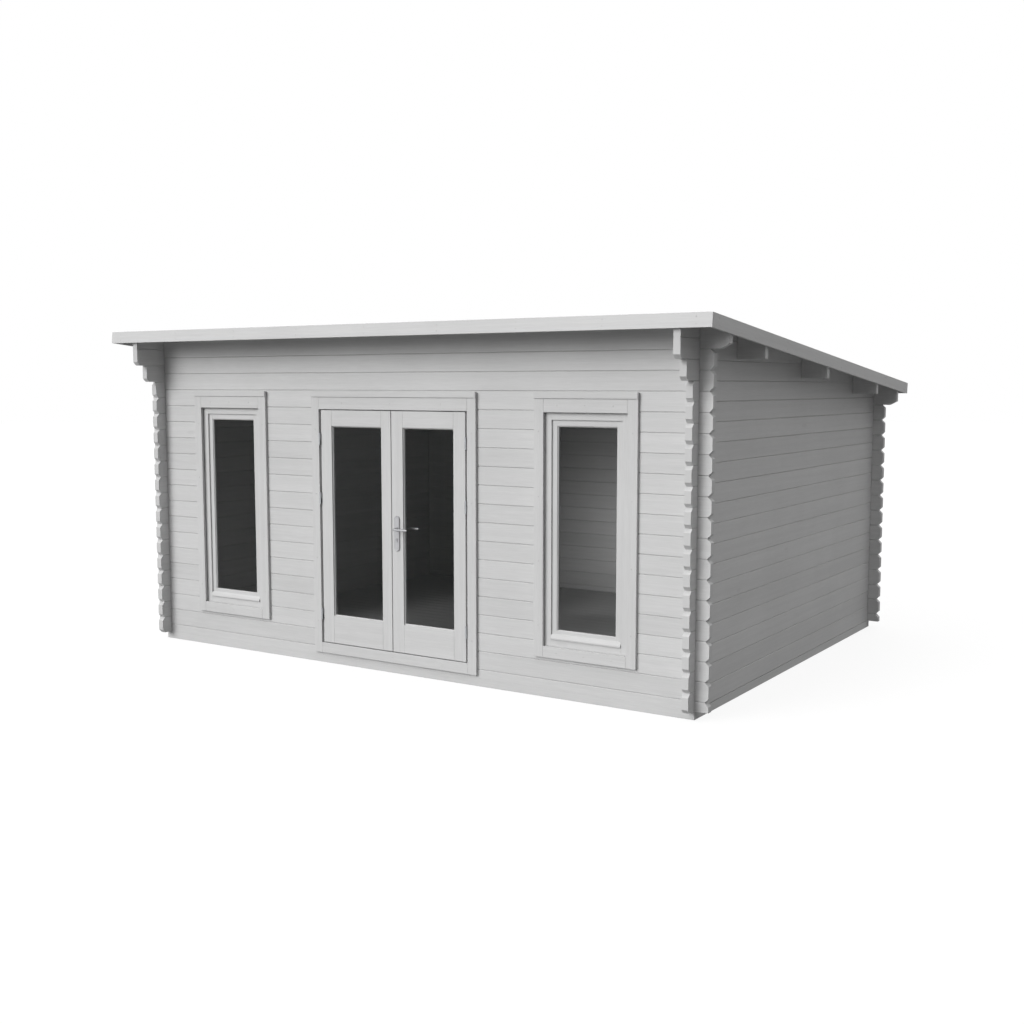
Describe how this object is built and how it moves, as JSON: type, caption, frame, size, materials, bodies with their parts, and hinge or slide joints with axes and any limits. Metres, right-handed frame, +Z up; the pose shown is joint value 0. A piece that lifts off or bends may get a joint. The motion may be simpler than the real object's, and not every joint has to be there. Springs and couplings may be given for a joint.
{
  "type": "log cabin",
  "caption": "Pent-roof log cabin with interlocking corner logs, stepped bracket logs, a pair of glazed doors that swing outwards and tall fixed windows.",
  "frame": {"origin": "on the ground under the middle of the roof's outline", "axes": "+X along the front to the right, +Y to the back, +Z up; the doors are on the -Y side"},
  "size_m": [5, 4, 2.42],
  "materials": {
    "log_timber": "painted, fine grain",
    "floor_timber": "sanded boards",
    "roof_timber": "planed boards",
    "roof_felt": "mineral roofing felt",
    "trim_timber": "painted, fine grain",
    "door_timber": "painted, fine grain",
    "glass": "clear, slightly grey",
    "hinge_metal": "satin",
    "handle_metal": "satin"
  },
  "bodies": {
    "cabin": {"base_beams_long": "log_timber", "base_beams_short": "log_timber", "floor_joists": "log_timber", "front_sill_log": "log_timber", "front_logs_left": "log_timber", "front_logs_right": "log_timber", "front_lintel_logs": "log_timber", "front_plate_log": "log_timber", "rear_logs": "log_timber", "rear_plate_log": "log_timber", "left_logs": "log_timber", "right_logs": "log_timber", "purlins": "log_timber", "floor_boards": "floor_timber", "roof_boards": "roof_timber", "roof_covering": "roof_felt", "front_fascia": "trim_timber", "rear_fascia": "trim_timber", "left_barge_board": "trim_timber", "right_barge_board": "trim_timber", "door_jambs": "trim_timber", "door_sill": "trim_timber", "door_casing": "trim_timber", "door_inner_casing": "trim_timber", "left_window_frame": "trim_timber", "left_window_sash": "trim_timber", "left_window_casing": "trim_timber", "right_window_frame": "trim_timber", "right_window_sash": "trim_timber", "right_window_casing": "trim_timber", "window_weather_bars": "trim_timber", "window_inner_casings": "trim_timber", "left_window_glass": "glass", "right_window_glass": "glass", "left_frame_hinges": "hinge_metal", "right_frame_hinges": "hinge_metal"},
    "left_door": {"left_door_frame": "door_timber", "left_door_glass": "glass", "left_leaf_hinges": "hinge_metal"},
    "right_door": {"right_door_frame": "door_timber", "right_door_glass": "glass", "right_leaf_hinges": "hinge_metal", "handle_plates": "handle_metal"},
    "handle": {"handle_levers": "handle_metal"}
  },
  "joints": [
    {"name": "left_door_hinge", "type": "hinge", "parent": "cabin", "child": "left_door", "pos_m": [-0.6365, -1.729, 1], "axis": [0, 0, -1], "range_deg": [0, 110]},
    {"name": "right_door_hinge", "type": "hinge", "parent": "cabin", "child": "right_door", "pos_m": [0.6365, -1.729, 1], "axis": [0, 0, 1], "range_deg": [0, 110]},
    {"name": "lever_turn", "type": "hinge", "parent": "right_door", "child": "handle", "pos_m": [0.053, -1.7, 1.022], "axis": [0, 1, 0], "range_deg": [0, 45], "stiffness_Nm_per_rad": 2, "springref_deg": -17.19}
  ]
}
